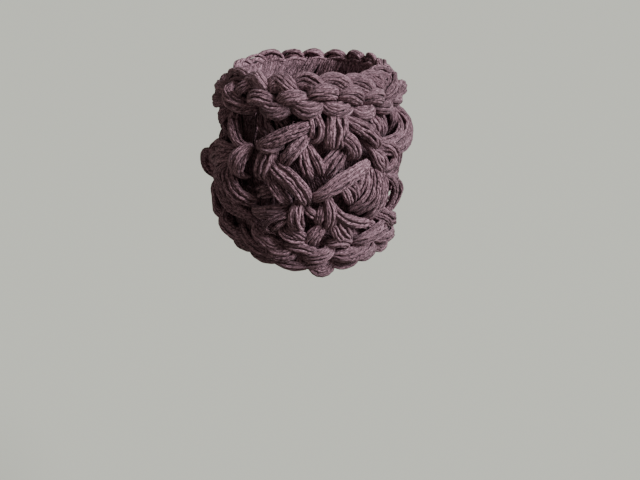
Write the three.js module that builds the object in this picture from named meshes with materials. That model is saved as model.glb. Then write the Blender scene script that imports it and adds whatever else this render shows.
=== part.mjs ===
// One chunky crocheted ankle warmer in the shape it takes on a lower leg: a hollow tube, open at
// both ends, worked in rounds from the hem to the top edge. Two rounds make the hem band, three
// tall rounds of crossed and gathered stitches make the openwork, and three rounds of braided
// loops make the snug top band. Units are millimetres, +Z runs up the leg, and the origin is on
// the leg's axis in the hem's plane, where the hem band sits on the ankle.
import * as THREE from "three";

const STITCHES = 20; // stitches in a round of the bands
const CROSSINGS = 10; // pairs of crossed stitches in a round of the openwork
const STEPS_PER_STITCH = 4; // facets across one stitch
const ROUND_GAP = 0.3; // clearance between two rounds
const FULL_TURN = 2 * Math.PI;

// The edges and seams of the rounds, from the hem to the top edge: the height, the radii of the
// wall's inner and outer face, the wave by which the seam runs up and down from stitch to
// stitch, and how far it rides up at the side where the hem is hitched up and the top edge dips.
const SEAMS = [
  { name: "hem", height: 1.3, inner: 48.5, outer: 57.5, wave: 1.2, repeats: STITCHES, phase: 0, ride: 11 },
  { name: "hem middle", height: 14, inner: 47.5, outer: 63, wave: 1.4, repeats: STITCHES, phase: 2.4, ride: 8 },
  { name: "hem top", height: 29, inner: 47.5, outer: 66, wave: 1.8, repeats: STITCHES, phase: 0.9, ride: 5 },
  { name: "crossing 1", height: 55, inner: 49.5, outer: 68.5, wave: 3, repeats: CROSSINGS, phase: 0.4, ride: 2 },
  { name: "crossing 2", height: 84, inner: 49.5, outer: 69, wave: 3, repeats: CROSSINGS, phase: 3.5, ride: -1 },
  { name: "band foot", height: 112, inner: 48, outer: 66, wave: 1.8, repeats: STITCHES, phase: 1.2, ride: -2 },
  { name: "braid 1", height: 122, inner: 47.5, outer: 69, wave: 1.3, repeats: STITCHES, phase: 3, ride: -3 },
  { name: "braid 2", height: 132, inner: 47.5, outer: 68.5, wave: 1.3, repeats: STITCHES, phase: 0.3, ride: -4 },
  { name: "top edge", height: 142.5, inner: 52, outer: 60, wave: 1.4, repeats: STITCHES, phase: 2.1, ride: -6 },
];

// Where the hem rides up: the side is the angle from the front, positive towards +X, and the
// spread is the half width, both in degrees.
const HITCHED_UP = { side: -75, spread: 45 };

// The rounds, each between two seams: the outer radius at mid height, and the lobes by which its
// stitches stand out of the wall.
const ROUNDS = [
  { name: "hem_edge_round", middle: 62.5, lobe: 1.8, repeats: STITCHES, phase: 0 },
  { name: "hem_band_round", middle: 66.5, lobe: 2.0, repeats: STITCHES, phase: 1.5 },
  { name: "lower_open_round", middle: 70.0, lobe: 2.6, repeats: CROSSINGS, phase: 0.6 },
  { name: "middle_open_round", middle: 72.0, lobe: 3.0, repeats: CROSSINGS, phase: 3.4 },
  { name: "upper_open_round", middle: 71.5, lobe: 2.8, repeats: CROSSINGS, phase: 0.2 },
  { name: "top_braid_lower_round", middle: 69.5, lobe: 2.0, repeats: STITCHES, phase: 0 },
  { name: "top_braid_middle_round", middle: 70.8, lobe: 1.8, repeats: STITCHES, phase: 2.9 },
  { name: "top_edge_round", middle: 68.5, lobe: 1.8, repeats: STITCHES, phase: 0.4 },
];

// Loops that stand well out of their round. The side is the angle from the front, positive
// towards +X, and the spread is the half width of the swelling, both in degrees.
const PROUD_LOOPS = [
  { round: "upper_open_round", side: 66, stand: 5.5, spread: 20 },
  { round: "upper_open_round", side: -140, stand: 3.5, spread: 18 },
  { round: "middle_open_round", side: -88, stand: 6.0, spread: 14 },
  { round: "middle_open_round", side: 150, stand: 4.0, spread: 18 },
  { round: "lower_open_round", side: 78, stand: 4.0, spread: 18 },
  { round: "lower_open_round", side: -82, stand: 3.5, spread: 20 },
];

// The hand-worked unevenness of the tube: slow waves of its radius around it.
const UNEVEN = [
  { size: 0.6, repeats: 3, phase: 1.1 },
  { size: 0.4, repeats: 7, phase: 2.3 },
];
const QUARTER_STAND = 0.85; // share of the lobe at the quarter heights of a round
const QUARTER_SWELL = 2 / 3; // share of the way from seam radius to middle radius there

const yarn = { color: 0x765a5f, roughness: 0.95, metalness: 0 };

const wave = (size, repeats, phase, angle) => size * Math.cos(repeats * angle + phase);

// A smooth swelling round one side of the tube, 1 at that side and 0 well away from it.
function swelling(angle, { side, spread }) {
  const away = THREE.MathUtils.radToDeg(angle) - side;
  const nearest = away - 360 * Math.round(away / 360);
  return Math.exp(-((nearest / spread) ** 2));
}

const seamHeight = (seam, angle) =>
  seam.height +
  wave(seam.wave, seam.repeats, seam.phase, angle) +
  seam.ride * swelling(angle, HITCHED_UP);

const unevenness = (angle) =>
  UNEVEN.reduce((sum, part) => sum + wave(part.size, part.repeats, part.phase, angle), 0);

// How far the stitches stand out of a round's plain wall at an angle.
function stand(round, angle) {
  let out = wave(round.lobe / 2, round.repeats, round.phase, angle) + unevenness(angle);
  for (const loop of PROUD_LOOPS) {
    if (loop.round === round.name) out += loop.stand * swelling(angle, loop);
  }
  return out;
}

// The wall's section at an angle, as [radius, height] corners. They run up the inner face, out
// along the high seam, down the outer face and back in along the low seam.
function section(round, lowSeam, highSeam, angle) {
  const low = seamHeight(lowSeam, angle) + ROUND_GAP / 2;
  const high = seamHeight(highSeam, angle) - ROUND_GAP / 2;
  const out = stand(round, angle);
  const lower = THREE.MathUtils.lerp(lowSeam.outer, round.middle, QUARTER_SWELL);
  const upper = THREE.MathUtils.lerp(highSeam.outer, round.middle, QUARTER_SWELL);
  const height = (share) => THREE.MathUtils.lerp(low, high, share);
  return [
    [lowSeam.inner, low],
    [highSeam.inner, high],
    [highSeam.outer, high],
    [upper + QUARTER_STAND * out, height(0.75)],
    [round.middle + out, height(0.5)],
    [lower + QUARTER_STAND * out, height(0.25)],
    [lowSeam.outer, low],
  ];
}

// A closed ring: one section at each step round the leg, skinned to the next. An angle of zero
// is the front of the leg, on -Y, and angles grow towards +X. The face on the low seam is split
// along the other diagonal, so that it lies parallel to the high face of the round below.
function ring(round, lowSeam, highSeam) {
  const steps = STITCHES * STEPS_PER_STITCH;
  const positions = [];
  const faces = [];
  let corners = 0;
  for (let step = 0; step < steps; step++) {
    const angle = (FULL_TURN * step) / steps;
    const points = section(round, lowSeam, highSeam, angle);
    corners = points.length;
    for (const [radius, height] of points) {
      positions.push(radius * Math.sin(angle), -radius * Math.cos(angle), height);
    }
  }
  for (let step = 0; step < steps; step++) {
    const here = step * corners;
    const next = ((step + 1) % steps) * corners;
    for (let corner = 0; corner < corners; corner++) {
      const after = (corner + 1) % corners;
      const onLowSeam = after === 0;
      faces.push(here + corner, here + after, next + (onLowSeam ? corner : after));
      faces.push((onLowSeam ? here + after : here + corner), next + after, next + corner);
    }
  }
  const geometry = new THREE.BufferGeometry();
  geometry.setAttribute("position", new THREE.Float32BufferAttribute(positions, 3));
  geometry.setIndex(faces);
  geometry.computeVertexNormals();
  return geometry;
}

const ankleWarmer = new THREE.Group();
ROUNDS.forEach((round, place) => {
  const geometry = ring(round, SEAMS[place], SEAMS[place + 1]);
  const mesh = new THREE.Mesh(geometry, new THREE.MeshStandardMaterial(yarn));
  mesh.name = round.name;
  ankleWarmer.add(mesh);
});

export default ankleWarmer;
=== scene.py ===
import math
from collections import namedtuple

import bpy
import numpy as np
from mathutils import Euler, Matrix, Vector


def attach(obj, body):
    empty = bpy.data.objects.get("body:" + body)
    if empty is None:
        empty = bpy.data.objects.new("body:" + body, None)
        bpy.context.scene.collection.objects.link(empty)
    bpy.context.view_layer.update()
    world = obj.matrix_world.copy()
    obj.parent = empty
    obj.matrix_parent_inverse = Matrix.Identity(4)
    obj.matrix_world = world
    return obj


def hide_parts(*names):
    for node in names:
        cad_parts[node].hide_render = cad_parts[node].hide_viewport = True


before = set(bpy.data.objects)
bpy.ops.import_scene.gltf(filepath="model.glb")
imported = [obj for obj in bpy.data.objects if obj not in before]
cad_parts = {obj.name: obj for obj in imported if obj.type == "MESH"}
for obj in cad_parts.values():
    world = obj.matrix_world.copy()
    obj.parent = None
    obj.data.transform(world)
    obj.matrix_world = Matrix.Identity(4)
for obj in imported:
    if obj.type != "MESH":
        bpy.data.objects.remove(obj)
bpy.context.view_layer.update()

# ---------------------------------------------------------------------------------------------
# The hem edge round. The first round of the crochet: flattened chain loops that lie along the
# hem and overlap like scales. Every stitch is one thick yarn of several soft tube-knit strands
# held together, so a stitch is made of its separate strands, laid round a few thick ones.
# ---------------------------------------------------------------------------------------------

MM = 0.001
STITCHES_ROUND = 20
STITCH_PITCH = 360 // STITCHES_ROUND  # from stitch to stitch round the leg, in degrees
STRAND_RADIUS = 1.05  # of one soft strand, in mm
STRAND_PITCH = 2.15  # from strand to strand round a stitch, in mm
STRAND_STEP = 2.25  # from point to point along a strand, in mm
STRAND_END = 0.45  # a strand's thickness at its two ends, as a share of the rest

# A stitch runs through its marks: side is the angle from the front towards +X in degrees,
# height is above the hem and lift is out from the cloth's outer face, both in mm. Wide is its
# width at its start, middle and end, and deep its thickness, in mm. Loose is 0 where its
# strands are pressed into one smooth rope and 1 where they lie apart.
Mark = namedtuple("Mark", "side height lift")
Stitch = namedtuple("Stitch", "marks wide deep loose")
Strand = namedtuple("Strand", "points radii shade")

# The cloth is narrow at the hem, bulges over the openwork and closes in at the top edge.
FACE_HEIGHTS = (0, 10, 30, 50, 75, 95, 105, 112, 125, 135, 143)
FACE_RADII = (57, 63, 68, 71, 72, 71, 69, 68, 70.5, 68, 62)


def outer_face(height):
    """The radius of the cloth's outer face at a height, in mm."""
    return np.interp(height, FACE_HEIGHTS, FACE_RADII)


def away_from(centre, side):
    """How far a side of the leg is round from another, from -180 to 180 degrees."""
    return (side - centre + 180) % 360 - 180


def near(centre, spread, side):
    """1 at one side of the leg, fading to 0 away from it."""
    return np.exp(-((away_from(centre, side) / spread) ** 2))


# At one side the hem is hitched up and the top edge dips: how far each height rides up there.
RIDE_HEIGHTS = (0, 14, 29, 55, 84, 112, 122, 132, 143)
RIDE_UP = (13, 9, 5, 2, -1, -2, -3, -4, -6)
RIDE_SIDE = -75  # in degrees
RIDE_SPREAD = 45  # in degrees


def hitched(side, height):
    """The height to which a stitch made at a height rides up at a side of the leg."""
    up = np.interp(height, RIDE_HEIGHTS, RIDE_UP)
    return height + up * near(RIDE_SIDE, RIDE_SPREAD, side)


def round_leg(side, radius, height):
    """Points in space, in mm, from their side of the leg, distance from its middle and height."""
    side = np.radians(side)
    return np.stack([radius * np.sin(side), -radius * np.cos(side), height], axis=1)


def in_space(marks):
    """The marks of a stitch as points in space, in mm."""
    side, height, lift = np.array(marks, float).T
    return round_leg(side, outer_face(height) + lift, height)


def lengths_along(points):
    """How far each point of a line is from its start."""
    return np.concatenate([[0], np.cumsum(np.linalg.norm(np.diff(points, axis=0), axis=1))])


SPAN_POINTS = 12  # on a smooth curve from one of its marks to the next
LEAST_POINTS = 6  # along a strand


def smooth_line(points):
    """Even points on a smooth curve through the given ones."""
    before, after = 2 * points[0] - points[1], 2 * points[-1] - points[-2]
    stops = np.concatenate([[before], points, [after]])
    t = np.linspace(0, 1, SPAN_POINTS, endpoint=False)[:, None]
    line = []
    for a, b, c, d in zip(stops, stops[1:], stops[2:], stops[3:]):
        curve = 2 * b + (c - a) * t + (2 * a - 5 * b + 4 * c - d) * t**2
        line.append((curve + (3 * b - a - 3 * c + d) * t**3) / 2)
    line = np.concatenate([*line, points[-1:]])
    along = lengths_along(line)
    even = np.linspace(0, along[-1], max(LEAST_POINTS, round(along[-1] / STRAND_STEP)))
    return np.stack([np.interp(even, along, axis) for axis in line.T], axis=1)


def unit(vectors):
    """The same directions, each one long."""
    return vectors / np.maximum(np.linalg.norm(vectors, axis=-1, keepdims=True), 1e-9)


def outward_along(line):
    """The direction of a line and the direction out of the cloth at each of its points. Out is
    straight out at the middle and is carried from there to both ends without twisting, as a flat
    yarn carries its face."""
    run = unit(np.gradient(line, axis=0))
    middle = len(line) // 2
    out = np.zeros_like(line)
    radial = line[middle] * (1, 1, 0)
    out[middle] = unit(radial - run[middle] * (radial @ run[middle]))
    for order in (range(middle + 1, len(line)), range(middle - 1, -1, -1)):
        before = out[middle]
        for i in order:
            before = unit(before - run[i] * (before @ run[i]))
            out[i] = before
    return run, out


def slow_wave(random, count, length, size):
    """A smooth random wander along a strand, made of three waves. Lengths are in mm."""
    at = np.linspace(0, length, count)[:, None]
    wave_lengths = np.array([34.0, 17.0, 8.0])
    phases = random.uniform(0, 2 * math.pi, 3)
    weights = np.array([1.0, 0.8, 0.6]) * random.uniform(0.6, 1.2, 3)
    return size * (np.sin(2 * math.pi * at / wave_lengths + phases) * weights).sum(axis=1)


def girth(a, b):
    """The length once round an oval with these half widths."""
    return math.pi * (3 * (a + b) - math.sqrt((3 * a + b) * (a + 3 * b)))


def places_round(way_round, loose, random):
    """The angles at which strands lie round a stitch, further apart where they part."""
    number = max(4, round(way_round / (STRAND_PITCH * (0.68 + 0.5 * loose))))
    spaces = random.uniform(0.65, 1.0, number)
    parted = random.random(number) < 0.06 + 0.38 * loose
    spaces[parted] += random.uniform(0.4, 1.0, parted.sum())
    return np.cumsum(spaces) / spaces.sum() * 2 * math.pi + random.uniform(0, 2 * math.pi)


SQUARENESS = 0.85  # 1 makes the section of a stitch an oval, and less a squarer one


def squarer(value):
    """A sine or cosine, moved so that a stitch gets its squarer section."""
    return np.sign(value) * np.abs(value) ** SQUARENESS


def tapered(points, radii, random):
    """A strand that thins at its two ends and has a shade of its own."""
    radii[[0, -1]] *= STRAND_END
    return Strand(points, radii, random.random())


STITCH_END = 0.7  # how deep a stitch is at its two ends, as a share of the rest
LEAST_HALF = 0.8  # half the least width and depth that strands lie round, in mm
FILLING_THICK = 0.62  # of the strands that fill a stitch, as a share of its half depth
FILLING_SPREAD = 1.15  # of those strands across a stitch, as a share of its half width
UNSEEN = -0.5  # the cosine of the place past which a strand would lie on the leg


def strands_of(one, random):
    """The strands of one stitch, round the outer side of a flattened bundle. They part in places,
    and are drawn together where the stitch is pulled tight at its ends. Thick ones fill it."""
    line = smooth_line(in_space(one.marks))
    run, out = outward_along(line)
    across = np.cross(out, run)
    count = len(line)
    share = np.linspace(0, 1, count)
    length = STRAND_STEP * count
    bow = np.sin(math.pi * share)
    wide = np.interp(share, (0, 0.5, 1), one.wide)
    wide += (one.wide[1] - wide) * bow * 0.5
    deep = one.deep * np.minimum(STITCH_END + 0.4 * bow, 1)
    thick = STRAND_RADIUS * (1.12 - 0.17 * one.loose)
    half_wide = np.maximum(wide / 2 - thick, LEAST_HALF)
    half_deep = np.maximum(deep / 2 - thick, LEAST_HALF)
    middle_wide, middle_deep = half_wide[count // 2], half_deep[count // 2]
    places = places_round(girth(middle_wide, middle_deep), one.loose, random)
    twist = random.uniform(-0.8, 0.8) * (share - 0.5)
    strands = []
    filling = max(1, round(1.1 * middle_wide / middle_deep))
    for place in range(filling):
        offset = (place - (filling - 1) / 2) * FILLING_SPREAD / filling
        points = line + across * (offset * half_wide)[:, None]
        radii = half_deep * FILLING_THICK + slow_wave(random, count, length, 0.1)
        strands.append(tapered(points, np.clip(radii, 0.6, 3), random))
    for place in places:
        if math.cos(place) < UNSEEN:
            continue
        angle = place + twist + slow_wave(random, count, length, 0.1)
        slack = random.uniform(-0.8, 0.6) * (0.3 + one.loose) * min(1, middle_wide / 4) * bow
        slack = slack + slow_wave(random, count, length, 0.2)
        sideways = squarer(np.sin(angle)) * (half_wide + slack)
        outwards = squarer(np.cos(angle)) * (half_deep + slack)
        points = line + across * sideways[:, None] + out * outwards[:, None]
        radii = thick * random.uniform(0.82, 1.14) + slow_wave(random, count, length, 0.09)
        strands.append(tapered(points, radii, random))
    return strands


def strand_tree():
    """Geometry Nodes that sweep each strand's line into a closed, slightly lumpy tube."""
    tree = bpy.data.node_groups.new("spun_strands", "GeometryNodeTree")
    interface = tree.interface
    interface.new_socket("Strand lines", in_out="INPUT", socket_type="NodeSocketGeometry")
    interface.new_socket("Sides", in_out="INPUT", socket_type="NodeSocketInt")
    interface.new_socket("Lumps", in_out="INPUT", socket_type="NodeSocketFloat")
    interface.new_socket("Lump scale", in_out="INPUT", socket_type="NodeSocketFloat")
    interface.new_socket("Yarn", in_out="INPUT", socket_type="NodeSocketMaterial")
    interface.new_socket("Strands", in_out="OUTPUT", socket_type="NodeSocketGeometry")
    nodes, links = tree.nodes, tree.links
    given = nodes.new("NodeGroupInput")
    result = nodes.new("NodeGroupOutput")
    to_curve = nodes.new("GeometryNodeMeshToCurve")
    links.new(given.outputs["Strand lines"], to_curve.inputs["Mesh"])
    thick = nodes.new("GeometryNodeInputNamedAttribute")
    thick.inputs["Name"].default_value = "thick"
    circle = nodes.new("GeometryNodeCurvePrimitiveCircle")
    circle.inputs["Radius"].default_value = 1.0
    links.new(given.outputs["Sides"], circle.inputs["Resolution"])
    around = nodes.new("GeometryNodeStoreNamedAttribute")
    around.inputs["Name"].default_value = "around"
    place = nodes.new("GeometryNodeSplineParameter")
    links.new(circle.outputs["Curve"], around.inputs["Geometry"])
    links.new(place.outputs["Factor"], around.inputs["Value"])
    sweep = nodes.new("GeometryNodeCurveToMesh")
    sweep.inputs["Fill Caps"].default_value = True
    links.new(to_curve.outputs["Curve"], sweep.inputs["Curve"])
    links.new(around.outputs["Geometry"], sweep.inputs["Profile Curve"])
    links.new(thick.outputs["Attribute"], sweep.inputs["Scale"])
    noise = nodes.new("ShaderNodeTexNoise")
    noise.inputs["Detail"].default_value = 2.0
    links.new(given.outputs["Lump scale"], noise.inputs["Scale"])
    centred = nodes.new("ShaderNodeMath")
    centred.operation = "SUBTRACT"
    centred.inputs[1].default_value = 0.5
    links.new(noise.outputs["Fac"], centred.inputs[0])
    height = nodes.new("ShaderNodeMath")
    height.operation = "MULTIPLY"
    links.new(centred.outputs[0], height.inputs[0])
    links.new(given.outputs["Lumps"], height.inputs[1])
    normal = nodes.new("GeometryNodeInputNormal")
    push = nodes.new("ShaderNodeVectorMath")
    push.operation = "SCALE"
    links.new(normal.outputs["Normal"], push.inputs[0])
    links.new(height.outputs[0], push.inputs["Scale"])
    move = nodes.new("GeometryNodeSetPosition")
    links.new(sweep.outputs["Mesh"], move.inputs["Geometry"])
    links.new(push.outputs[0], move.inputs["Offset"])
    smooth = nodes.new("GeometryNodeSetShadeSmooth")
    links.new(move.outputs["Geometry"], smooth.inputs["Geometry"])
    real = nodes.new("GeometryNodeRealizeInstances")
    links.new(smooth.outputs["Geometry"], real.inputs["Geometry"])
    finish = nodes.new("GeometryNodeSetMaterial")
    links.new(real.outputs["Geometry"], finish.inputs["Geometry"])
    links.new(given.outputs["Yarn"], finish.inputs["Material"])
    links.new(finish.outputs["Geometry"], result.inputs["Strands"])
    return tree


def soft_yarn(name, tint):
    """Matt, slightly brushed yarn of fine tube-knit strands: tiny stitches along each strand, light
    and dark flecks, and a slow change of shade from strand to strand. The light flecks are lighter
    fibres. The dark ones are partly the yarn's own dark flecks and partly painted shade in the pits
    between its tiny loops."""
    material = bpy.data.materials.new(name)
    material.use_nodes = True
    nodes, links = material.node_tree.nodes, material.node_tree.links
    shader = nodes["Principled BSDF"]
    shader.inputs["Roughness"].default_value = 0.92
    shader.inputs["Specular IOR Level"].default_value = 0.18
    shader.inputs["Sheen Weight"].default_value = 0.22
    shader.inputs["Sheen Roughness"].default_value = 0.45
    shader.inputs["Sheen Tint"].default_value = (0.86, 0.68, 0.76, 1)
    along = nodes.new("ShaderNodeAttribute")
    along.attribute_name = "along"
    around = nodes.new("ShaderNodeAttribute")
    around.attribute_name = "around"
    shade = nodes.new("ShaderNodeAttribute")
    shade.attribute_name = "shade"

    def calculate(operation, first, second=0):
        node = nodes.new("ShaderNodeMath")
        node.operation = operation
        for socket, value in zip(node.inputs, (first, second)):
            if isinstance(value, (int, float)):
                socket.default_value = value
            else:
                links.new(value, socket)
        return node.outputs[0]

    # A strand is a knitted tube, so its surface is laid out as a strip: its length one way and
    # a turn and a bit of twist the other way, each strand from a place of its own.
    twist = calculate("MULTIPLY", along.outputs["Fac"], 0.035)
    turn = calculate("ADD", around.outputs["Fac"], twist)
    angle = calculate("MULTIPLY", turn, 2 * math.pi)
    strip = nodes.new("ShaderNodeCombineXYZ")
    links.new(calculate("MULTIPLY", along.outputs["Fac"], 0.45), strip.inputs["X"])
    links.new(calculate("ADD", calculate("MULTIPLY", calculate("COSINE", angle), 0.9),
                        calculate("MULTIPLY", shade.outputs["Fac"], 90.0)), strip.inputs["Y"])
    links.new(calculate("MULTIPLY", calculate("SINE", angle), 0.9), strip.inputs["Z"])
    fibres_and_pit_shade = nodes.new("ShaderNodeTexNoise")
    fibres_and_pit_shade.inputs["Scale"].default_value = 1.15
    fibres_and_pit_shade.inputs["Detail"].default_value = 4.0
    fibres_and_pit_shade.inputs["Roughness"].default_value = 0.8
    links.new(strip.outputs["Vector"], fibres_and_pit_shade.inputs["Vector"])
    flecks = nodes.new("ShaderNodeTexNoise")
    flecks.inputs["Scale"].default_value = 0.85
    flecks.inputs["Detail"].default_value = 2.0
    links.new(strip.outputs["Vector"], flecks.inputs["Vector"])
    ribs = calculate("SINE", calculate("ADD", calculate("MULTIPLY", angle, 5.0),
                                       calculate("MULTIPLY", flecks.outputs["Fac"], 9.0)))

    # The fine noise paints the strands lighter and darker. Its light end is lighter fibres. Its
    # dark end is partly the yarn's own dark flecks and partly painted shade in the pits between the
    # tiny loops.
    ramp = nodes.new("ShaderNodeValToRGB")
    ramp.color_ramp.elements[0].position = 0.41
    ramp.color_ramp.elements[0].color = (tint[0] * 0.16, tint[1] * 0.13, tint[2] * 0.14, 1)
    ramp.color_ramp.elements[1].position = 0.6
    ramp.color_ramp.elements[1].color = (tint[0] * 2.5, tint[1] * 2.7, tint[2] * 2.65, 1)
    middle = ramp.color_ramp.elements.new(0.5)
    middle.color = (*tint, 1)
    mixed = calculate("ADD", calculate("MULTIPLY", fibres_and_pit_shade.outputs["Fac"], 0.8),
                      calculate("MULTIPLY", flecks.outputs["Fac"], 0.2))
    mixed = calculate("ADD", mixed, calculate("MULTIPLY", ribs, 0.035))
    own_shade = calculate("SUBTRACT", shade.outputs["Fac"], 0.5)
    mixed = calculate("ADD", mixed, calculate("MULTIPLY", own_shade, 0.07))
    links.new(mixed, ramp.inputs["Fac"])
    links.new(ramp.outputs["Color"], shader.inputs["Base Color"])
    relief = calculate("ADD", calculate("MULTIPLY", fibres_and_pit_shade.outputs["Fac"], 1.4),
                       calculate("MULTIPLY", ribs, 0.16))
    bump = nodes.new("ShaderNodeBump")
    bump.inputs["Strength"].default_value = 1.0
    bump.inputs["Distance"].default_value = 0.6 * MM
    links.new(relief, bump.inputs["Height"])
    links.new(bump.outputs["Normal"], shader.inputs["Normal"])
    return material


MAUVE = (0.210, 0.118, 0.147)
yarn = soft_yarn("mauve_yarn", MAUVE)
spun_strands = strand_tree()


def crocheted(name, stitches, nodes_replaced, seed, behind=()):
    """A round of stitches, with any strands that lie behind them, as one piece."""
    random = np.random.default_rng(seed)
    strands = [strand for one in stitches for strand in strands_of(one, random)]
    return spun(name, strands + list(behind), nodes_replaced)


def spun(name, strands, nodes_replaced):
    """One mesh of closed strands, riding on the body."""
    counts = [len(one.points) for one in strands]
    starts = np.concatenate([[0], np.cumsum(counts)[:-1]])
    lines = bpy.data.meshes.new(name + "_lines")
    edges = np.concatenate([start + np.stack([np.arange(n - 1), np.arange(1, n)], axis=1)
                            for start, n in zip(starts, counts)])
    points = np.concatenate([one.points for one in strands]) * MM
    lines.from_pydata(points.tolist(), edges.tolist(), [])
    columns = {
        "thick": np.concatenate([one.radii for one in strands]) * MM,
        "along": np.concatenate([lengths_along(one.points) for one in strands]),
        "shade": np.repeat([one.shade for one in strands], counts),
    }
    for title, values in columns.items():
        lines.attributes.new(title, "FLOAT", "POINT").data.foreach_set(
            "value", np.asarray(values, np.float32))
    made = bpy.data.objects.new(name + "_lines", lines)
    bpy.context.scene.collection.objects.link(made)
    modifier = made.modifiers.new("spun", "NODES")
    modifier.node_group = spun_strands
    settings = {"Sides": 8, "Lumps": 0.25 * MM, "Lump scale": 420.0, "Yarn": yarn}
    for socket in spun_strands.interface.items_tree:
        if socket.name in settings:
            modifier[socket.identifier] = settings[socket.name]
    ready = made.evaluated_get(bpy.context.evaluated_depsgraph_get())
    mesh = bpy.data.meshes.new_from_object(ready)
    bpy.data.objects.remove(made)
    mesh.name = name
    piece = bpy.data.objects.new(name, mesh)
    bpy.context.scene.collection.objects.link(piece)
    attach(piece, "root")
    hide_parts(*nodes_replaced)
    return piece


LOOSE = 0.55  # of most stitches


def stitch(wide, deep, *marks, loose=LOOSE):
    """A stitch from its widths, its depth and its marks."""
    return Stitch([Mark(*mark) for mark in marks], wide, deep, loose)


def rope(wide, deep, *marks):
    """A stitch whose strands are pressed nearly into one rope."""
    return stitch(wide, deep, *marks, loose=0.3)


def varied(stitches, turn, seed, sunk=0):
    """The same stitches further round the leg, each a little different. They may lie deeper."""
    random = np.random.default_rng(seed)
    made = []
    for one in stitches:
        side, rise, out = random.uniform(-2, 2), random.uniform(-1.5, 1.5), random.uniform(-1, 1)
        size = random.uniform(0.92, 1.1)
        marks = [Mark(mark.side + turn + side, hitched(mark.side + turn, mark.height + rise),
                      mark.lift + out - sunk) for mark in one.marks]
        made.append(Stitch(marks, tuple(w * size for w in one.wide), one.deep, one.loose))
    return made


def hem_loops(number, first, shape, wide, deep, loose=LOOSE):
    """The same loop a number of times round the leg, from its first side on. It rides up where
    the hem is hitched up. The shape gives its marks with sides counted from its middle."""
    made = []
    for count in range(number):
        middle = first + count * STITCH_PITCH
        marks = [(middle + side, hitched(middle + side, height), lift)
                 for side, height, lift in shape]
        made.append(stitch(wide, deep, *marks, loose=loose))
    return made


hem_edge = [
    rope((5, 9, 5), 7, (-67, 22, -10), (-58, 17, -2), (-50, 15, -2), (-42, 14, -4), (-37, 15, -9)),
    rope((5, 9, 5), 7, (-50, 16, -8), (-42, 11, -4), (-33, 9, -3), (-24, 9, -4), (-19, 12, -9)),
    rope((5, 8, 5), 7, (-31, 9, -9), (-22, 7, -4), (-12, 5, -3), (-3, 5, -4), (2, 8, -9)),
    rope((4, 7, 4), 6, (-13, 3, -9), (-5, 5, -4), (3, 7, -3), (11, 7, -4), (16, 9, -9)),
    stitch((6, 11, 6), 8, (0, 6, -9), (5, 1.5, -4), (10, -0.5, -3), (15, 1.5, -4), (18, 8, -10),
           loose=0.2),
    rope((5, 9, 6), 7, (16, 8, -9), (22, 4, -4), (29, 3, -3), (36, 5, -4), (40, 10, -9)),
    rope((5, 9, 6), 7, (35, 7, -9), (43, 5, -4), (50, 6, -3), (57, 9, -5), (61, 14, -10)),
    rope((5, 9, 6), 7, (57, 11, -9), (64, 6, -3), (72, 4, -0.5), (80, 5, -0.5), (88, 10, -8)),
]
outer_loop = [(-12, 12, -10), (-6, 6, -4), (0, 4.5, -3), (6, 6, -4), (11, 11, -9)]
hem_edge += hem_loops(12, 91, outer_loop, (5, 9.5, 5), 7, loose=0.3)
inner_loop = [(-11, 6, -6.5), (-6, 5.5, -6.5), (0, 5, -6), (6, 5.5, -6.5), (11, 6, -6.5)]
hem_edge += hem_loops(STITCHES_ROUND, 0, inner_loop, (4, 8, 4), 4.5, loose=0.4)
hem_edge_round = crocheted("hem_edge_loops", hem_edge, ["hem_edge_round"], seed=11)

# ---------------------------------------------------------------------------------------------
# The hem band round. The second round: wider loops laid along the hem above the first, each
# tucked behind the next, with the ends of the openwork drawn through them.
# ---------------------------------------------------------------------------------------------

# The backs of the stitches are rows of strands close to the leg, shut but for a few holes. In
# each stitch of a row the strands lean over all together.
Row = namedtuple("Row", "height tall lean")
Hole = namedtuple("Hole", "side height half_wide half_tall")
BACK_STRAND_RADIUS = 1.04  # in mm
BACK_STRANDS = 8  # in one stitch
BACK_POINTS = 8  # along a strand
BACK_REACH = 7.9  # from the middle of a stitch to its outermost strands, in degrees

# Behind the loops of the hem band and the lower openwork lies one more layer of thicker backs.
BACK_LAYER_RADIUS = 54.5  # from the leg's middle to its strands, in mm
BACK_LAYER_STRAND = 1.3  # the radius of one of them, in mm


def pushed_apart(side, height, holes):
    """The side to which the holes push each point of a strand."""
    pushed = side.copy()
    for hole in holes:
        away = away_from(hole.side, side)
        tall = np.clip(1 - ((height - hole.height) / hole.half_tall) ** 2, 0, 1)
        reach = np.exp(-np.abs(away) / (1.6 * hole.half_wide))
        pushed += np.where(away < 0, -1, 1) * hole.half_wide * np.sqrt(tall) * reach
    return pushed


def backs(rows, leg_side, seed, holes=(), thick=BACK_STRAND_RADIUS):
    """The strands of rows of stitch backs, lying at a distance from the leg's middle in mm."""
    random = np.random.default_rng(seed)
    strands = []
    for row in rows:
        for count in range(STITCHES_ROUND):
            middle = count * STITCH_PITCH + random.uniform(-0.8, 0.8)
            lean = row.lean + random.uniform(-3, 3)
            rise = random.uniform(-1.5, 1.5)
            for place in np.linspace(-1, 1, BACK_STRANDS):
                share = np.linspace(-1, 1, BACK_POINTS)
                side = middle + place * BACK_REACH + lean * share + random.uniform(-0.4, 0.4)
                height = row.height + rise + share * row.tall / 2
                side = pushed_apart(side, height, holes)
                radius = leg_side + 1.8 * share**4 + 0.8 * place**2 + random.uniform(0, 0.6)
                points = round_leg(side, radius, hitched(side, height))
                radii = np.full(len(share), thick * random.uniform(0.92, 1.08))
                strands.append(tapered(points, radii, random))
    return strands


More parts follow.
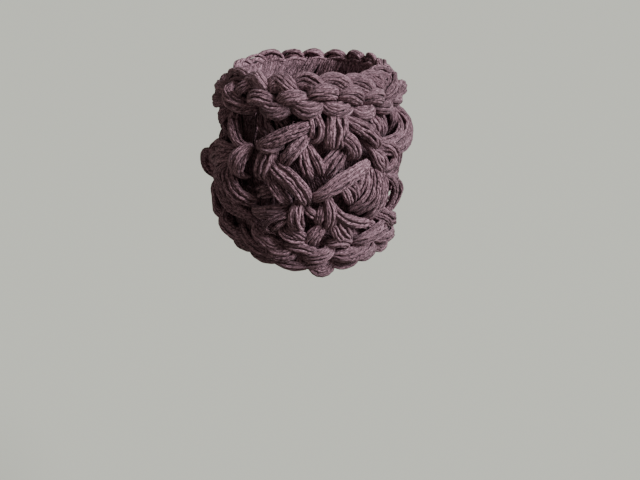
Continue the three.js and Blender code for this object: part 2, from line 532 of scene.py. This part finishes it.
hem_band = [
    stitch((8, 13, 7), 8, (-76, 38, -10), (-67, 30, 1), (-59, 25, 1), (-51, 22, -2), (-45, 21, -9)),
    rope((5, 10, 5), 7, (-56, 28, -8), (-48, 23, -3), (-41, 18, -2), (-33, 14, -3), (-29, 12, -9)),
    rope((6, 12, 6), 8, (-40, 34, -10), (-35, 29, -4), (-29, 25, -3), (-23, 22, -4), (-18, 22, -9)),
    rope((5, 12, 6), 7, (-30, 23, -9), (-26, 17, -3), (-19, 14.5, -2), (-12, 16, -3), (-8, 20, -9)),
    rope((4, 8.5, 5), 7, (-18, 21, -9), (-11, 22.5, -4), (-4, 22, -3), (1, 19.5, -4), (4, 16, -9)),
    rope((6, 11, 6), 7, (-5, 12, -9), (1, 13.5, -4), (8, 15, -2), (13, 18, -3), (16, 23, -9)),
    rope((5, 10, 6), 7, (11, 21, -10), (16, 24, -4), (21, 25, -3), (26, 23, -4), (29, 18, -9)),
    stitch((6, 13, 8), 8, (15, 13, -9), (23, 12, -3), (33, 13, -1), (41, 15, -2), (47, 18, -4),
           (51, 21, -10)),
    stitch((6, 10, 8), 8, (55, 16, -8), (64, 15, -1), (73, 14, 0.5), (82, 13, 0.5), (90, 13, -2),
           (97, 14, -8)),
]
leaning_loop = [(-12, 16, -9), (-6, 18, -4), (0, 21, -3), (7, 22, -4), (12, 19, -9)]
hem_band += hem_loops(11, 88, leaning_loop, (6, 12, 6), 8)
hem_band_backs = backs([Row(14, 20, 4), Row(30, 18, -5)], BACK_LAYER_RADIUS, seed=31,
                       thick=BACK_LAYER_STRAND)
hem_band_round = crocheted("hem_band_loops", hem_band, ["hem_band_round"], seed=12,
                           behind=hem_band_backs)

# ---------------------------------------------------------------------------------------------
# The lower openwork round. Short gathered stitches, leaf loops and small fans that reach up
# from the hem band and are pulled through the crossed stitches above.
# ---------------------------------------------------------------------------------------------

lower_open = [
    stitch((8, 15, 8), 8, (-73, 72, -9), (-68, 62, -2), (-60, 53, -1), (-51, 45, -2),
           (-42, 39, -9)),
    stitch((8, 12, 8), 8, (-94, 56, -8), (-90, 49, 0), (-84, 40, 1), (-77, 33, 1), (-70, 27, -7)),
    stitch((8, 14, 8), 8, (-87, 55, -10), (-85, 48, -5), (-83, 40, -5), (-80, 33, -10)),
    stitch((8, 14, 8), 8, (-98, 47, -11), (-93, 40, -3), (-88, 34, -2.5), (-82, 27, -10)),
    stitch((8, 10, 8), 7, (-41, 44, -11), (-33, 46, -5), (-25, 48, -4), (-17, 50, -5),
           (-10, 52, -11)),
    stitch((4, 12, 9), 8, (-4, 59, -8), (-6, 54, -2), (-7, 48, 0), (-7, 42, -1), (-6.5, 38, -5),
           (-6, 37, -10), loose=0.5),
    stitch((4, 7, 5), 6, (-3, 55, -9), (0, 51.5, -4), (3, 48, -4), (6, 45, -9), loose=0.4),
    stitch((3, 5.5, 4), 6, (-8, 50, -9), (-12, 48.5, -2), (-17, 46.5, 0), (-22, 43, 0.5),
           (-25.5, 38.5, 0), (-24, 34, -2), (-20, 33, -7)),
    stitch((3, 4, 3), 5, (-23, 34, -6), (-20, 37, -0.5), (-16, 41, 0), (-12, 45, -2), (-9, 48, -7)),
    stitch((4, 8, 3), 6, (-18, 39, -8), (-16, 33, -3), (-11.5, 30, -2), (-6, 28.5, -3), (0, 26, -9),
           loose=0.4),
    stitch((4, 8, 3), 6, (-15, 39, -8), (-10, 36.5, -3), (-5, 32.5, -2), (0, 26, -9), loose=0.4),
    stitch((4, 7, 5), 6, (9.5, 57, -8), (8, 51, -4), (6.5, 45, -3), (6, 39, -9), loose=0.4),
    stitch((4, 8.5, 6), 7, (10, 62, -9), (12, 55, -2), (13, 47, -1), (12.5, 40, -3), (12, 35, -9)),
    stitch((4, 8, 5), 7, (12, 57, -8), (16, 50, -1), (22, 43.5, 0), (30, 39, -1), (37, 37, -1),
           (40, 36, -7)),
    stitch((4, 14, 12), 7, (13, 48, -8), (17, 40, -3), (21, 32, -2), (24, 26, -4), (25, 22, -9)),
    stitch((5, 11, 6), 7, (11, 39, -11), (7.5, 36, -5), (4, 32, -4), (1.5, 27, -5), (1, 22, -11),
           loose=0.4),
    stitch((3, 12, 14), 8, (31, 20, -9), (36, 23, -2), (42, 25, 0), (48, 27, 0), (54, 28, -1),
           (59, 28, -8), loose=1),
    stitch((10, 13, 9), 8, (50, 41, -10), (57, 36, -3), (66, 30.5, -2), (75, 26, -1),
           (83, 22, -2.5), (89, 18, -9)),
    stitch((8, 12, 8), 7, (38, 36, -13), (46, 32, -8), (54, 26, -8), (62, 20, -12)),
    stitch((8, 14, 8), 7, (-46, 42, -14), (-41, 36, -11), (-36, 30, -11), (-31, 25, -14)),
    stitch((8, 14, 8), 7, (36, 52, -13), (44, 46, -10), (52, 42, -10), (60, 38, -13)),
]
# The same stitches go round the back, and the middle ones fill both sides, a little deeper.
front = [one for one in lower_open if all(abs(mark.side) < 80 for mark in one.marks)]
centre = [one for one in lower_open if all(abs(mark.side) < 30 for mark in one.marks)]
lower_open += varied(front, 180, seed=5)
lower_open += varied(centre, 112, seed=29, sunk=4)
lower_open += varied(centre, -114, seed=30, sunk=4)
lower_open_backs = backs([Row(47, 24, 4)], BACK_LAYER_RADIUS, seed=32, thick=BACK_LAYER_STRAND)
lower_open_round = crocheted("lower_openwork", lower_open, ["lower_open_round"], seed=13,
                             behind=lower_open_backs)

# ---------------------------------------------------------------------------------------------
# The middle openwork round. Long bundles crossed over each other, with big concave fans beside
# them and loops that stand out at the sides.
# ---------------------------------------------------------------------------------------------

middle_open = [
    stitch((9, 12.5, 6), 8, (-24, 86, -9), (-18, 81, -2), (-11, 75.5, 0), (-5.5, 69, 1),
           (-2, 62, 0), (-1.5, 54, -8)),
    stitch((6, 10, 6), 7, (-25, 82, -11), (-21.5, 75, -4), (-18, 68, -1), (-14, 60, -2),
           (-12, 54, -9)),
    stitch((5, 11.5, 4), 8, (38, 80.5, -7), (33, 80.5, -1), (24, 77, 2), (14, 70, 3), (6, 63.5, 1),
           (1, 60, -7), loose=1),
    stitch((8, 14, 9), 8, (18, 76, -9), (22, 69, -4), (26, 61, -3.5), (29, 53, -9), loose=0.35),
    stitch((5, 9, 5), 6, (27, 77, -12), (31, 70, -8), (34, 63, -8), (34, 56, -12)),
    stitch((5, 8, 5), 6, (37, 80, -9), (34, 72, -4), (31, 63, -4), (27, 54, -9)),
    stitch((6, 9, 6), 7, (40, 79, -8), (38, 68, -2), (34, 57, -1), (27, 47, -8), loose=0.9),
    stitch((6, 10, 6), 7, (44, 78, -8), (43, 67, -1), (40, 55, 1), (32, 44, -7)),
    stitch((6, 10, 9), 7, (47, 76, -8), (48, 66, -1), (46, 54, 1), (42, 44, -1), (39, 35, -8)),
    stitch((5, 10, 5), 7, (49, 92, -9), (56, 88, -1), (60, 81, 0), (57, 74, -2), (50, 70, -9)),
    stitch((4, 6.5, 4), 6, (52, 69, -8), (58, 64.5, -3), (63.5, 57, -1), (66, 49, -2), (62, 41, -3),
           (55, 34, -8)),
    stitch((4, 6.5, 4), 6, (56, 70, -9), (65, 63, -3), (73, 54, -0.5), (76, 46, -0.5), (73, 37, -3),
           (66, 30, -8)),
    stitch((5, 8, 5), 6, (62, 72, -10), (71, 64, -6), (81, 56, -5), (84, 48, -5), (80, 38, -6),
           (72, 31, -10)),
    stitch((9, 15, 10), 8, (-54, 79, -10), (-52, 72, -1), (-48.5, 65, 1), (-43, 58, 1),
           (-36, 52, -8), loose=0.8),
    stitch((8, 12, 7), 8, (-64, 78, -9), (-63, 70, -2), (-59, 61, -2), (-52, 52, -9)),
    stitch((6, 10, 6), 7, (-34, 59, -11), (-29, 61, -6), (-24, 63.5, -5), (-18, 66, -10),
           loose=0.8),
    stitch((5, 16, 12), 8, (-38, 92, -9), (-40, 88, -1), (-42.5, 82, 1.5), (-44, 75, -1),
           (-44, 70, -9)),
    stitch((5, 9, 6), 7, (-47, 86, -8), (-53, 88, -2), (-61, 88, -1), (-69, 86, -3),
           (-76, 83, -10)),
    stitch((5, 10, 7), 7, (-48, 83, -8), (-56, 82, -1), (-65, 79, 0), (-73, 74, -1), (-80, 68, -9)),
    stitch((5, 10, 6), 7, (-49, 80, -8), (-56, 76, -1), (-62, 70, 0), (-65, 62, -1), (-66, 54, -9)),
    stitch((4, 7, 4), 9, (-78, 77, -7), (-81, 78, 1), (-85, 75, 4.5), (-87, 68, 5), (-87, 62, 2.5),
           (-84, 56, -5)),
    stitch((8, 13, 8), 8, (-76, 88, -9), (-80, 81, -2), (-83, 73, -1), (-84, 65, -2),
           (-82, 57, -9)),
    stitch((5, 14, 9), 8, (-20, 97, -10), (-22, 91, -4), (-25, 83, -2), (-27, 76, -3),
           (-26, 70, -9)),
    stitch((8, 12, 8), 8, (-80, 72, -9), (-83, 63, -3), (-83, 55, -3), (-79, 46, -9)),
    stitch((6, 12, 7), 8, (60, 91, -9), (66, 84, -3), (69, 76, -3), (67, 68, -5), (62, 62, -10),
           loose=0.4),
]
front = [one for one in middle_open if abs(one.marks[1].side) < 72]
centre = [one for one in middle_open if all(abs(mark.side) < 40 for mark in one.marks)]
middle_open += varied(front, 180, seed=6)
middle_open += varied(centre, 101, seed=25, sunk=6)
middle_open += varied(centre, -101, seed=26, sunk=5)
middle_open_round = crocheted("middle_openwork", middle_open, ["middle_open_round"], seed=14)

# ---------------------------------------------------------------------------------------------
# The upper openwork round. Bundles that hang from the loops of the top band: fat puffs, long
# slanting bundles with looped ends, and a proud fan at one side.
# ---------------------------------------------------------------------------------------------

upper_open = [
    stitch((5, 10, 6), 8, (-53, 116, -9), (-51, 109, -3), (-48, 101, -2), (-44, 94, -3),
           (-39, 88, -9)),
    stitch((7, 10.5, 8), 8, (5, 111, -9), (-1, 109, -3), (-10, 105.5, 0), (-20, 99.5, 0),
           (-27, 95, -3), (-31, 91, -9)),
    stitch((3, 4, 3), 4, (-31, 97, -5), (-26, 94, 0), (-20, 93, 1), (-14, 97, -4)),
    stitch((4, 7, 4), 5, (-28, 85, -8), (-23, 88, -4), (-18, 93, -8)),
    stitch((4, 4.5, 3), 4, (3, 120, -9), (6, 114, -2), (7.5, 108, 0), (6, 101, -1), (1, 97, -7)),
    stitch((3, 4.5, 3), 4, (0, 119, -9), (2, 113, -2), (2.5, 107, -2), (1.5, 100, -7)),
    stitch((8, 16, 14), 9, (17, 121, -10), (17, 114, -3), (16, 107, 0), (15, 101, 0), (15, 97, -3),
           (15, 95, -9), loose=0.35),
    stitch((7, 9.5, 8), 7, (17, 106, -8), (21.5, 101, -1), (25, 96, 1), (26.5, 90, 0), (26, 84, -8),
           loose=0.2),
    stitch((5, 11, 7), 7, (19, 113, -9), (27, 109, -2), (35, 103, 0), (41, 96, 0), (44, 88, -7)),
    stitch((4, 7, 4), 6, (35, 97, -9), (39, 90, -3), (43, 81, -2), (47, 75, -3), (49, 69, -8)),
    stitch((4, 8, 4), 6, (40, 90, -9), (45, 86, -3), (49, 80, -2), (49, 74, -3), (48, 68, -8)),
    stitch((4, 7, 5), 6, (70, 111, -9), (75, 105, -3), (71, 99, 0), (62, 94, -1), (50, 92, -8),
           loose=0.7),
    stitch((4, 8, 5), 7, (74, 112, -9), (80, 107, -1), (79, 99, 2.5), (70, 92, 2.5), (58, 88, -1),
           (47, 89, -8)),
    stitch((4, 8, 5), 7, (78, 112, -9), (85, 107, -1), (86, 99, 3.5), (81, 91, 4.5), (69, 86, 3),
           (57, 85, -1), (47, 86.5, -8), loose=0.7),
    rope((8, 15, 8), 8, (74, 116, -11), (76, 108, -6), (76, 99, -6), (73, 90, -11)),
    stitch((7, 14, 8), 8, (41, 114, -14), (45, 108, -9), (49, 101, -9), (52, 94, -14)),
    stitch((7, 13, 8), 8, (54, 112, -14), (58, 106, -10), (61, 99, -10), (63, 92, -14)),
    stitch((5, 11, 9), 8, (1, 104, -9), (-3, 99, -4), (-7.5, 93.5, -1), (-11.5, 88, -2),
           (-15, 82, -9), loose=0.8),
    stitch((4, 8, 7), 8, (-1, 97, -9), (-2, 91, -4), (-1.5, 85, -2), (0, 79, -3), (2, 74, -9),
           loose=0.4),
    stitch((4, 6.5, 6), 6, (0, 98, -9), (2, 93, -3), (5, 87, -2), (7, 80, -3), (7, 75, -9),
           loose=0.4),
    stitch((5, 14, 11), 8, (23, 95, -10), (19, 90, -5), (13.5, 84, -4), (10, 78.5, -5),
           (9, 75, -10), loose=0.8),
    stitch((8, 13, 8), 7, (-65, 110, -14), (-64, 103, -11), (-61, 95, -11), (-56, 88, -14)),
    stitch((6, 9, 7), 7, (-70, 112, -12), (-75, 108, -7), (-81, 103, -6), (-86, 98, -11)),
    stitch((8, 14, 8), 7, (-84, 113, -14), (-87, 105, -10), (-87, 97, -9), (-85, 89, -12)),
    stitch((7, 12, 8), 7, (-36, 114, -15), (-31, 107, -12), (-27, 101, -12), (-24, 95, -15)),
    stitch((7, 12, 8), 7, (-20, 116, -15), (-18, 111, -12), (-14, 104, -12), (-10, 98, -15)),
    stitch((8, 15, 9), 8, (98, 117, -10), (99, 109, -4), (97, 101, -3), (93, 93, -9)),
]
front = [one for one in upper_open if abs(one.marks[1].side) < 60]
centre = [one for one in upper_open if all(abs(mark.side) < 26 for mark in one.marks)]
upper_open += varied(front, 180, seed=7)
upper_open += varied(centre, 106, seed=27, sunk=6)
upper_open += varied(centre, -106, seed=28, sunk=7)
upper_open_round = crocheted("upper_openwork", upper_open, ["upper_open_round"], seed=15)

# ---------------------------------------------------------------------------------------------
# The top band's lower braid row. Loops that sag like smiles under the braid, where the band
# holds the openwork.
# ---------------------------------------------------------------------------------------------

# A loop of the plait is given by five points along it, each a side and a height. It comes up
# out of the cloth, lies on its face and goes down into it again: SINKS is its lift on the way.
SINKS = (-10, -3, 0, -3, -10)
BAND_DIP_SIDE = -92  # in degrees
BAND_DIP_SPREAD = 28  # in degrees


def plaited(wide, lean, *points, deep=10, sinks=SINKS, loose=0):
    """A loop of the plait from its widths, how far it leans out and its points."""
    marks = [(side, height, lean + sink) for (side, height), sink in zip(points, sinks)]
    return stitch(wide, deep, *marks, loose=loose)


def plain_loops(sides, shape, height, dip, wide, lean, seed, deep=10, sinks=SINKS):
    """The same loop at each of the sides, a little different every time. The top edge and the
    band dip at one side."""
    random = np.random.default_rng(seed)
    made = []
    for at in sides:
        turn, rise = random.uniform(-1.5, 1.5), random.uniform(-1, 1)
        size = random.uniform(0.88, 1.1)
        low = height + rise - dip * near(BAND_DIP_SIDE, BAND_DIP_SPREAD, at)
        points = [(at + turn + side * size, low + up) for side, up in shape]
        made.append(plaited(tuple(w * size for w in wide), lean, *points, deep=deep, sinks=sinks))
    return made


top_lower = [
    plaited((5, 11, 6), -3, (-98, 114), (-91, 115), (-83, 115.5), (-75, 116), (-68, 117)),
    plaited((5, 13, 6), -4, (-60, 131.5), (-58, 126), (-51.5, 121), (-43, 118), (-34, 118.5)),
    plaited((4, 12, 4), -4, (-31, 121.5), (-26, 119), (-19, 118), (-13, 119.5), (-8.5, 123)),
    plaited((4, 13, 4), -4, (-10.5, 124.5), (-6, 121), (0, 119.5), (5, 121), (9.5, 125)),
    plaited((4, 12.5, 4), -4, (8.5, 123.5), (12.5, 120), (18, 118), (24, 119.5), (28, 123)),
    plaited((4, 12, 4), -4, (27, 120.5), (31, 116), (36.5, 114.5), (42, 116.5), (45.5, 120)),
    plaited((4, 10, 4), -4, (44, 120), (50, 116.5), (56, 115), (62, 117), (66, 121)),
    plaited((4, 10, 4), -4, (65, 121), (72, 117.5), (79, 116.5), (86, 118), (92, 121)),
]
top_lower += plain_loops(range(101, 266, STITCH_PITCH),
                         [(-10, 4), (-5, 1), (0, 0), (5, 1), (10, 4.5)],
                         height=119, dip=4.5, wide=(4, 12, 4), lean=-4, seed=21)
top_lower_round = crocheted("top_band_lower_loops", top_lower, ["top_braid_lower_round"], seed=16)

# ---------------------------------------------------------------------------------------------
# The top band's middle braid row. Humps that rise steeply at one side, fall slowly at the
# other and tuck under the next, like a plait round the leg.
# ---------------------------------------------------------------------------------------------

top_middle = [
    plaited((5, 12, 6), -7, (-98, 119), (-91, 122), (-83, 124), (-75, 124), (-67, 120)),
    plaited((5, 9, 6), -6, (-36, 134), (-39, 133), (-42.5, 131), (-46, 128.5), (-48, 125),
            loose=0.8),
    plaited((4, 12, 6), -5, (-39, 120), (-35, 124.5), (-29.5, 126.5), (-24, 124.5), (-18.5, 119.5)),
    plaited((4, 11, 6), -5, (-18, 122), (-14.5, 126), (-9, 127.5), (-3, 126.5), (1, 124)),
    plaited((5, 11.5, 5), -4.5, (-0.5, 123), (3, 129), (9, 131), (15, 129.5), (20, 124.5)),
    plaited((5, 12, 6), -4.5, (18.5, 123.5), (21.5, 128), (26.5, 128), (31.5, 125), (36.5, 119.5)),
    plaited((5, 12, 6), -4.5, (35, 119.5), (39, 124.5), (44.5, 125), (50, 122), (55, 117)),
    plaited((6, 15, 9), -5, (56, 118.5), (61, 124), (66.5, 128), (72, 130.5), (78, 130), loose=1),
    plaited((5, 12, 7), -2.5, (75, 116.5), (80, 121.5), (86, 123.5), (92, 121.5), (97, 117)),
]
top_middle += plain_loops(range(106, 262, STITCH_PITCH),
                          [(-10, -6), (-6, 0), (0, 1), (5, -1.5), (10, -6.5)],
                          height=127.5, dip=7, wide=(5, 11.5, 5), lean=-4.5, seed=22)
top_middle_round = crocheted("top_band_middle_loops", top_middle, ["top_braid_middle_round"],
                             seed=17)

# ---------------------------------------------------------------------------------------------
# The top edge round. The upper row of the plait, whose humps make the scalloped top edge. It
# leans in to the leg, dips at one side, and has small flat loops along its back.
# ---------------------------------------------------------------------------------------------

# A hump comes a little forward as it falls, and tucks in at its end.
EDGE_SINKS = (-4, -1, 0, 1.5, -5)


def top_hump(wide, lean, *points):
    """A loop of the top edge."""
    return plaited(wide, lean, *points, sinks=EDGE_SINKS)


top_edge = [
    stitch((6, 10, 6), 8, (-146, 131, -13), (-138, 137, -12), (-130, 138, -11.5),
           (-122, 134.5, -13), (-114, 128, -16)),
    stitch((6, 10, 6), 8, (-128, 131, -15), (-120, 135.5, -13), (-112, 136, -13), (-104, 134, -14),
           (-98, 129, -17)),
    stitch((6, 10, 6), 8, (-110, 127, -17), (-102, 131.5, -15.5), (-94, 132.5, -15),
           (-86, 131, -15), (-80, 126, -17)),
    stitch((6, 11, 7), 8, (-88, 125, -17), (-79, 130.5, -14), (-70, 134, -12.5), (-60, 137, -11),
           (-50, 138, -10.5), (-43, 135, -13)),
    top_hump((7, 13, 8), -7.5, (-44.5, 131), (-39.5, 134.5), (-34.5, 136), (-29.5, 134.5),
             (-26, 128)),
    top_hump((4, 8, 5), -12.5, (-25, 127), (-21, 131.5), (-17, 132.5), (-12.5, 131), (-9, 127)),
    top_hump((8, 13.5, 8), -8, (-26, 128), (-22, 133.5), (-17, 136), (-12, 133.5), (-6.5, 127.5)),
    top_hump((7, 13, 8), -8.5, (-10.5, 130), (-6.5, 135.5), (-1, 137), (5, 134), (10.5, 128)),
    top_hump((7, 13, 8), -8.5, (6.5, 131), (10.5, 136), (16.5, 136.5), (23, 133), (29, 126.5)),
    top_hump((7, 13, 8), -8.5, (23.5, 131.5), (28, 135.5), (34, 134.5), (40, 130.5), (46, 124)),
    top_hump((6, 12, 8), -9, (38, 133), (42.5, 136.5), (48, 135.5), (53, 131.5), (57, 124)),
    top_hump((6, 12, 8), -11, (51.5, 134), (58, 137.5), (65, 136), (71, 132), (76, 127)),
    top_hump((5, 12, 7), -12, (73, 131.5), (79, 135), (86, 135), (92, 131.5), (99, 125)),
    top_hump((4, 12, 7), -11, (93, 131), (98, 136.5), (104, 137), (111, 133), (119, 125)),
]
top_edge += plain_loops(range(122, 220, STITCH_PITCH),
                        [(-10, -7), (-6, 0), (0, 1), (7, -3.5), (15, -12)],
                        height=138, dip=0, wide=(4, 12, 7), lean=-9.5, seed=23, sinks=EDGE_SINKS)
top_edge += plain_loops(range(9, 369, STITCH_PITCH),
                        [(-11, 0), (-6, 0.5), (0, 1), (6, 0.5), (11, 0)],
                        height=134, dip=8, wide=(4, 7, 4), lean=-15.8, seed=24, deep=4.5,
                        sinks=(0, 0, 0, 0, 0))
top_edge_round = crocheted("top_edge_loops", top_edge, ["top_edge_round"], seed=18)

# ---------------------------------------------------------------------------------------------
# The inner side. The backs of the stitches lie flat against the leg, in one thin layer of
# strands that goes all round and from the hem to the top edge.
# ---------------------------------------------------------------------------------------------

LEG_SIDE_RADIUS = 50.3  # from the leg's middle to its strands, in mm
INNER_ROWS = [Row(11, 15, 6), Row(25, 17, -7), Row(41, 26, 3), Row(68, 31, -3), Row(96, 29, 3),
              Row(116, 18, 7), Row(129, 16, -6)]
HOLES = [Hole(8, 94, 6, 9), Hole(-33, 65, 8, 9), Hole(33, 89, 4, 9), Hole(-22, 89, 4, 6),
         Hole(188, 90, 6, 7), Hole(147, 68, 7, 7)]
inner_side = spun("inner_side", backs(INNER_ROWS, LEG_SIDE_RADIUS, seed=19, holes=HOLES),
                  ["hem_band_round", "lower_open_round", "middle_open_round", "upper_open_round"])

# ---------------------------------------------------------------------------------------------
# The studio. A plain pale floor well below the warmer and a plain pale wall round it, a large
# soft light from the right and front as from a window, a weak fill, and the camera a little above.
# ---------------------------------------------------------------------------------------------

FLOOR_HALF = 40.0  # of its width, in metres
FLOOR_DROP = -0.62  # from the hem, in metres
floor_corners = [(-1, -1), (1, -1), (1, 1), (-1, 1)]
floor_mesh = bpy.data.meshes.new("floor")
floor_mesh.from_pydata([(x * FLOOR_HALF, y * FLOOR_HALF, FLOOR_DROP) for x, y in floor_corners],
                       [], [(0, 1, 2, 3)])
floor = bpy.data.objects.new("floor", floor_mesh)
bpy.context.scene.collection.objects.link(floor)
PALE = (0.60, 0.63, 0.56, 1)
pale = bpy.data.materials.new("pale_floor")
pale.use_nodes = True
pale.node_tree.nodes["Principled BSDF"].inputs["Base Color"].default_value = PALE
pale.node_tree.nodes["Principled BSDF"].inputs["Roughness"].default_value = 0.9
floor_mesh.materials.append(pale)
floor.visible_diffuse = False  # it sends no light up into the stitches

WINDOW_SIDE = math.radians(64)
WINDOW_RISE = math.radians(37)
window_light = bpy.data.lights.new("window", "SUN")
window_light.energy = 5.0
window_light.angle = math.radians(30)
window_light.color = (1.0, 0.99, 1.0)
window = bpy.data.objects.new("window", window_light)
from_window = Vector((math.sin(WINDOW_SIDE) * math.cos(WINDOW_RISE),
                      -math.cos(WINDOW_SIDE) * math.cos(WINDOW_RISE), math.sin(WINDOW_RISE)))
window.rotation_euler = from_window.to_track_quat("Z", "Y").to_euler()
bpy.context.scene.collection.objects.link(window)

world = bpy.data.worlds.new("room")
world.use_nodes = True
room_nodes, room_links = world.node_tree.nodes, world.node_tree.links
fill = room_nodes["Background"]
fill.inputs["Color"].default_value = (1.0, 0.90, 0.78, 1)
fill.inputs["Strength"].default_value = 0.225
wall = room_nodes.new("ShaderNodeBackground")
wall.inputs["Color"].default_value = PALE
wall.inputs["Strength"].default_value = 0.94
seen = room_nodes.new("ShaderNodeLightPath")
wall_or_fill = room_nodes.new("ShaderNodeMixShader")
room_links.new(seen.outputs["Is Camera Ray"], wall_or_fill.inputs["Fac"])
room_links.new(fill.outputs["Background"], wall_or_fill.inputs[1])
room_links.new(wall.outputs["Background"], wall_or_fill.inputs[2])
room_links.new(wall_or_fill.outputs["Shader"], room_nodes["World Output"].inputs["Surface"])
bpy.context.scene.world = world

CAMERA_DOWN = 22.2  # how far it looks down, in degrees
CAMERA_LEFT = -1.0  # how far it looks to its left, in degrees
camera_data = bpy.data.cameras.new("camera")
camera_data.sensor_width = 36
camera_data.lens = 39.1
camera = bpy.data.objects.new("camera", camera_data)
camera.location = (0.0, -0.515, 0.212)
camera.rotation_euler = Euler((math.radians(90 - CAMERA_DOWN), 0, math.radians(CAMERA_LEFT)))
bpy.context.scene.collection.objects.link(camera)
bpy.context.scene.camera = camera
